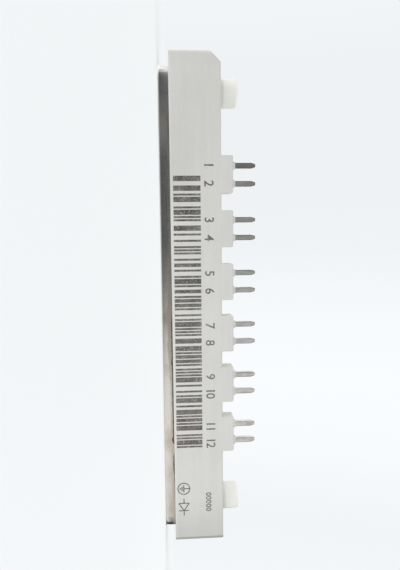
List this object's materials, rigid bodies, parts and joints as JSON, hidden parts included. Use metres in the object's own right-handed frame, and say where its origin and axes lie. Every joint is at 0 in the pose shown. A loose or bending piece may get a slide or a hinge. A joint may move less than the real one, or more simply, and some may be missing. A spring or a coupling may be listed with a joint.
{
  "type": "three-phase power switch module",
  "caption": "Flat power semiconductor module: metal base plate, pale moulded frame with standoffs and two rows of solder pins, lid, gel and an inner ceramic circuit.",
  "frame": {"origin": "centre of the base plate's mounting face", "axes": "+X along the module's length, away from the bevelled end; +Y from the control pins' side to the power pins' side; +Z from the mounting face towards the pin tips"},
  "size_m": [0.1076, 0.045, 0.0205],
  "materials": {
    "nickel_plate": "satin nickel plating on copper",
    "frame_plastic": "fine matt moulded, pale warm grey",
    "lid_plastic": "fine matt moulded, pale warm grey",
    "seal": "cured adhesive",
    "gel": "clear soft silicone gel",
    "solder": "dull solder",
    "copper": "bare copper",
    "ceramic": "white alumina",
    "silicon": "metallised die",
    "bond_wire": "drawn wire",
    "tinned_pin": "matt tin on copper"
  },
  "bodies": {
    "root": {"base_plate": "nickel_plate", "frame": "frame_plastic", "frame_seal": "seal", "lid": "lid_plastic", "gel_fill": "gel", "solder_u": "solder", "back_copper_u": "copper", "ceramic_u": "ceramic", "top_copper_u": "copper", "bond_wires_u": "bond_wire", "solder_v": "solder", "back_copper_v": "copper", "ceramic_v": "ceramic", "top_copper_v": "copper", "bond_wires_v": "bond_wire", "solder_w": "solder", "back_copper_w": "copper", "ceramic_w": "ceramic", "top_copper_w": "copper", "bond_wires_w": "bond_wire", "switch_die_u_high": "silicon", "diode_die_u_high": "silicon", "switch_die_u_low": "silicon", "diode_die_u_low": "silicon", "switch_die_v_high": "silicon", "diode_die_v_high": "silicon", "switch_die_v_low": "silicon", "diode_die_v_low": "silicon", "switch_die_w_high": "silicon", "diode_die_w_high": "silicon", "switch_die_w_low": "silicon", "diode_die_w_low": "silicon", "control_pin_1": "tinned_pin", "control_pin_2": "tinned_pin", "control_pin_3": "tinned_pin", "control_pin_4": "tinned_pin", "control_pin_5": "tinned_pin", "control_pin_6": "tinned_pin", "control_pin_7": "tinned_pin", "control_pin_8": "tinned_pin", "control_pin_9": "tinned_pin", "control_pin_10": "tinned_pin", "control_pin_11": "tinned_pin", "control_pin_12": "tinned_pin", "power_pin_1": "tinned_pin", "power_pin_2": "tinned_pin", "power_pin_3": "tinned_pin", "power_pin_4": "tinned_pin", "power_pin_5": "tinned_pin", "power_pin_6": "tinned_pin", "power_pin_7": "tinned_pin", "power_pin_8": "tinned_pin", "power_pin_9": "tinned_pin", "power_pin_10": "tinned_pin"}
  },
  "joints": []
}
